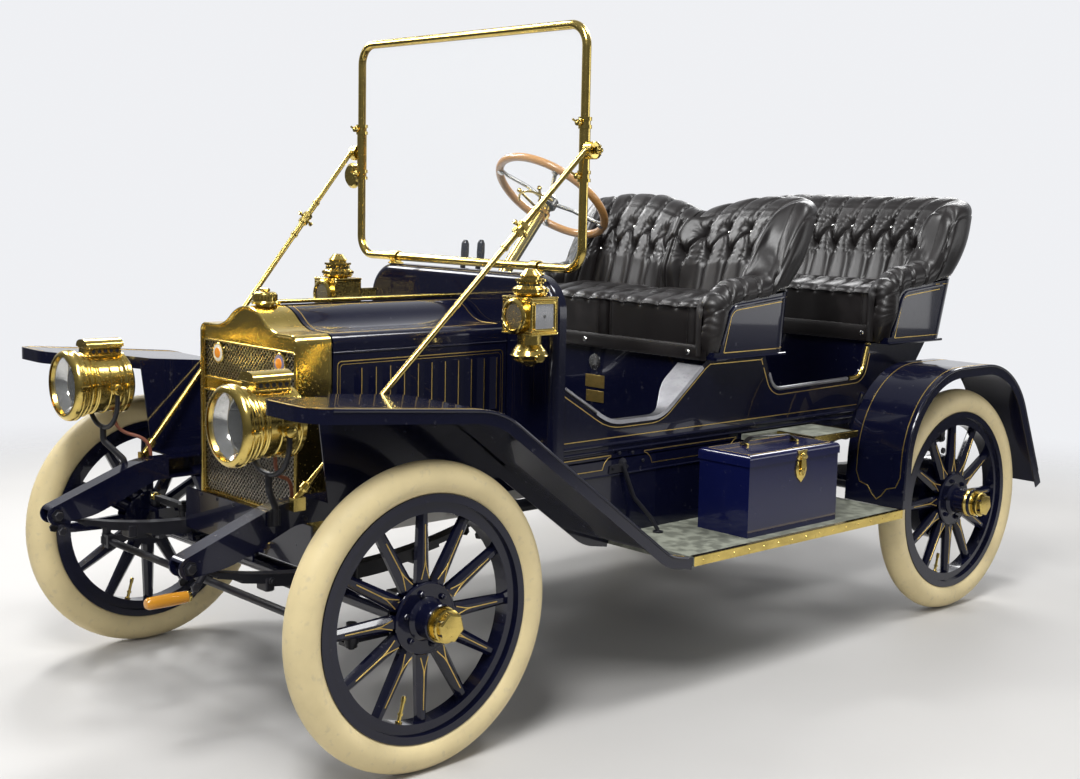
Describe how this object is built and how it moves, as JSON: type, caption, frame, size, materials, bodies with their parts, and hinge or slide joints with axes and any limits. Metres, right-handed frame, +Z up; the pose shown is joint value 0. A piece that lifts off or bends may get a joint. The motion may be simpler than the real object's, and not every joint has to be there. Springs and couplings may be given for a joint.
{
  "type": "brass era touring car",
  "caption": "Open four-seat touring car of the brass era with wooden spoked wheels, long fenders, running boards, brass lamps, brass radiator and a folding windscreen.",
  "frame": {"origin": "on the ground under the middle of the bounding box", "axes": "+X to the car's left, -Y forwards (the radiator faces -Y), +Z up"},
  "size_m": [1.718, 3.341, 1.923],
  "materials": {
    "chassis_paint": "gloss navy enamel on iron",
    "body_paint": "deep gloss navy coach paint with fine gold lines",
    "fender_paint": "deep gloss navy, black underneath",
    "wheel_paint": "wood painted gloss navy with gold lines, on a steel rim",
    "iron": "black painted iron",
    "engine_metal": "cast, dull",
    "core_metal": "finned, dull",
    "brass": "polished",
    "glass": "clear",
    "hose_rubber": "red-brown rubber",
    "leather": "black tufted leather",
    "board_covering": "grey-green covering with a brass edge",
    "tyre": "cream white rubber, smooth",
    "wood": "varnished rim on dark spokes"
  },
  "bodies": {
    "chassis": {"frame": "chassis_paint", "engine": "engine_metal", "exhaust": "iron", "front_axle": "chassis_paint", "front_springs": "iron", "rear_axle": "chassis_paint", "rear_springs": "iron", "radiator_shell": "brass", "radiator_core": "core_metal", "front_apron": "chassis_paint", "hood_hinge": "brass", "dash": "body_paint", "windshield_frame": "brass", "windshield_glass": "glass", "windshield_stays": "brass", "headlamps": "brass", "lamp_brackets": "iron", "hose_left": "hose_rubber", "hose_right": "hose_rubber", "side_lamps": "brass", "body_shell": "body_paint", "front_seat_body": "body_paint", "front_cushions": "leather", "front_backrests": "leather", "rear_seat_body": "body_paint", "rear_cushion": "leather", "rear_backrest": "leather", "front_fenders": "fender_paint", "rear_fenders": "fender_paint", "splash_aprons": "body_paint", "running_boards": "board_covering", "rear_steps": "board_covering", "tool_box": "body_paint", "steering_column": "brass", "hand_levers": "iron"},
    "knuckle_left": {"knuckle_left": "iron"},
    "knuckle_right": {"knuckle_right": "iron"},
    "tie_rod": {"tie_rod": "iron"},
    "drag_link": {"drag_link": "iron"},
    "drop_arm": {"drop_arm": "iron"},
    "steering_wheel": {"steering_wheel": "wood"},
    "hood_left": {"hood_left": "body_paint"},
    "hood_right": {"hood_right": "body_paint"},
    "tool_box_lid": {"tool_box_lid": "body_paint"},
    "hood_side_left": {"hood_side_left": "body_paint"},
    "hood_side_right": {"hood_side_right": "body_paint"},
    "starting_crank": {"starting_crank": "iron"},
    "front_wheel_left": {"wheel_front_left": "wheel_paint", "tyre_front_left": "tyre"},
    "front_wheel_right": {"wheel_front_right": "wheel_paint", "tyre_front_right": "tyre"},
    "rear_wheel_left": {"wheel_rear_left": "wheel_paint", "tyre_rear_left": "tyre"},
    "rear_wheel_right": {"wheel_rear_right": "wheel_paint", "tyre_rear_right": "tyre"}
  },
  "joints": [
    {"name": "steer_left", "type": "hinge", "parent": "chassis", "child": "knuckle_left", "pos_m": [0.652, -1.1835, 0.392], "axis": [0, 0, 1], "range_deg": [-25, 25]},
    {"name": "steer_right", "type": "hinge", "parent": "chassis", "child": "knuckle_right", "pos_m": [-0.652, -1.1835, 0.392], "axis": [0, 0, 1], "range_deg": [-25, 25]},
    {"name": "tie_rod_pivot", "type": "hinge", "parent": "knuckle_left", "child": "tie_rod", "pos_m": [0.652, -1.3495, 0.353], "axis": [0, 0, 1], "range_deg": [-25, 25]},
    {"name": "drag_link_pivot", "type": "hinge", "parent": "knuckle_right", "child": "drag_link", "pos_m": [-0.472, -1.1835, 0.466], "axis": [0, 0, 1], "range_deg": [-25, 25]},
    {"name": "drop_arm_swing", "type": "hinge", "parent": "chassis", "child": "drop_arm", "pos_m": [-0.43, -0.5625, 0.622], "axis": [1, 0, 0], "range_deg": [-25, 25]},
    {"name": "steering_wheel_turn", "type": "hinge", "parent": "chassis", "child": "steering_wheel", "pos_m": [-0.215, 0.0815, 1.43], "axis": [0, 0.6325, 0.7745], "range_deg": [-250, 250]},
    {"name": "hood_left_lift", "type": "hinge", "parent": "chassis", "child": "hood_left", "pos_m": [0, -0.8255, 1.124], "axis": [0, -1, 0], "range_deg": [0, 85]},
    {"name": "hood_right_lift", "type": "hinge", "parent": "chassis", "child": "hood_right", "pos_m": [0, -0.8255, 1.124], "axis": [0, 1, 0], "range_deg": [0, 85]},
    {"name": "hood_side_left_hang", "type": "hinge", "parent": "hood_left", "child": "hood_side_left", "pos_m": [0.2505, -0.8255, 1.002], "axis": [0, -1, 0], "range_deg": [-85, 0]},
    {"name": "hood_side_right_hang", "type": "hinge", "parent": "hood_right", "child": "hood_side_right", "pos_m": [-0.2505, -0.8255, 1.002], "axis": [0, 1, 0], "range_deg": [-85, 0]},
    {"name": "tool_box_lid_open", "type": "hinge", "parent": "chassis", "child": "tool_box_lid", "pos_m": [0.534, 0.2515, 0.635], "axis": [0, -1, 0], "range_deg": [0, 90]},
    {"name": "crank_turn", "type": "hinge", "parent": "chassis", "child": "starting_crank", "pos_m": [0, -1.2425, 0.435], "axis": [0, 1, 0], "continuous": true},
    {"name": "front_wheel_left_spin", "type": "hinge", "parent": "knuckle_left", "child": "front_wheel_left", "pos_m": [0.711, -1.1835, 0.392], "axis": [1, 0, 0], "continuous": true},
    {"name": "front_wheel_right_spin", "type": "hinge", "parent": "knuckle_right", "child": "front_wheel_right", "pos_m": [-0.711, -1.1835, 0.392], "axis": [1, 0, 0], "continuous": true},
    {"name": "rear_wheel_left_spin", "type": "hinge", "parent": "chassis", "child": "rear_wheel_left", "pos_m": [0.711, 1.1785, 0.392], "axis": [1, 0, 0], "continuous": true},
    {"name": "rear_wheel_right_spin", "type": "hinge", "parent": "chassis", "child": "rear_wheel_right", "pos_m": [-0.711, 1.1785, 0.392], "axis": [1, 0, 0], "continuous": true}
  ],
  "couplings": [
    {"joint": "steer_right", "follows": "steer_left", "ratio": 1},
    {"joint": "tie_rod_pivot", "follows": "steer_left", "ratio": -1},
    {"joint": "drag_link_pivot", "follows": "steer_left", "ratio": -1},
    {"joint": "drop_arm_swing", "follows": "steer_left", "ratio": 1},
    {"joint": "steering_wheel_turn", "follows": "steer_left", "ratio": 10},
    {"joint": "hood_side_left_hang", "follows": "hood_left_lift", "ratio": -1},
    {"joint": "hood_side_right_hang", "follows": "hood_right_lift", "ratio": -1}
  ]
}
